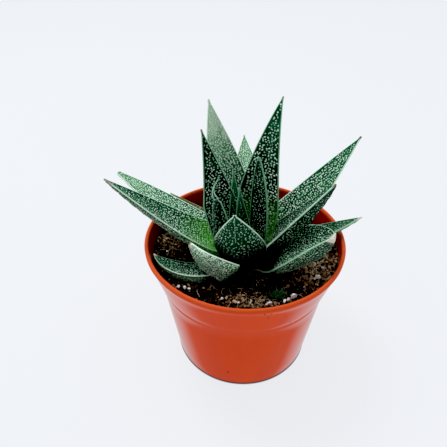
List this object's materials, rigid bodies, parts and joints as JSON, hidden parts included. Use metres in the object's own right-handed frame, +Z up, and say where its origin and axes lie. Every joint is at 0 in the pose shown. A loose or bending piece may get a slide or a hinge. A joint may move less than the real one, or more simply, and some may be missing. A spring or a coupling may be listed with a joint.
{
  "type": "potted gasteraloe",
  "caption": "Young succulent rosette of thick pointed leaves covered in pale tubercles, growing in soil in a round flared plastic nursery pot.",
  "frame": {"origin": "middle of the pot's underside, on the surface it stands on", "axes": "+Z up along the pot's axis; -Y is the front, towards the broad short front leaf; +X is the viewer's right"},
  "size_m": [0.1142, 0.1027, 0.1249],
  "materials": {
    "pot": "satin terracotta plastic",
    "soil": "loose dark potting mix with bark, fibres and white grains",
    "stem": "waxy",
    "leaf": "waxy dark green with raised white tubercles",
    "young_leaf": "waxy green with raised white tubercles"
  },
  "bodies": {
    "root": {"pot": "pot", "soil": "soil", "stem": "stem", "leaf_young_small": "young_leaf", "leaf_young_middle": "young_leaf", "leaf_young_right": "young_leaf", "leaf_young_left": "young_leaf", "leaf_upright_left": "leaf", "leaf_upright_right": "leaf", "leaf_upright_back": "leaf", "leaf_front_middle": "leaf", "leaf_right_middle": "leaf", "leaf_left_long": "leaf", "leaf_right_long": "leaf", "leaf_left_behind": "leaf", "leaf_back_middle": "leaf", "leaf_front_left": "leaf", "leaf_front_right": "leaf", "leaf_back_short": "leaf", "leaf_low_right": "leaf", "leaf_low_left": "leaf", "leaf_low_back": "leaf", "leaf_low_back_left": "leaf"}
  },
  "joints": []
}
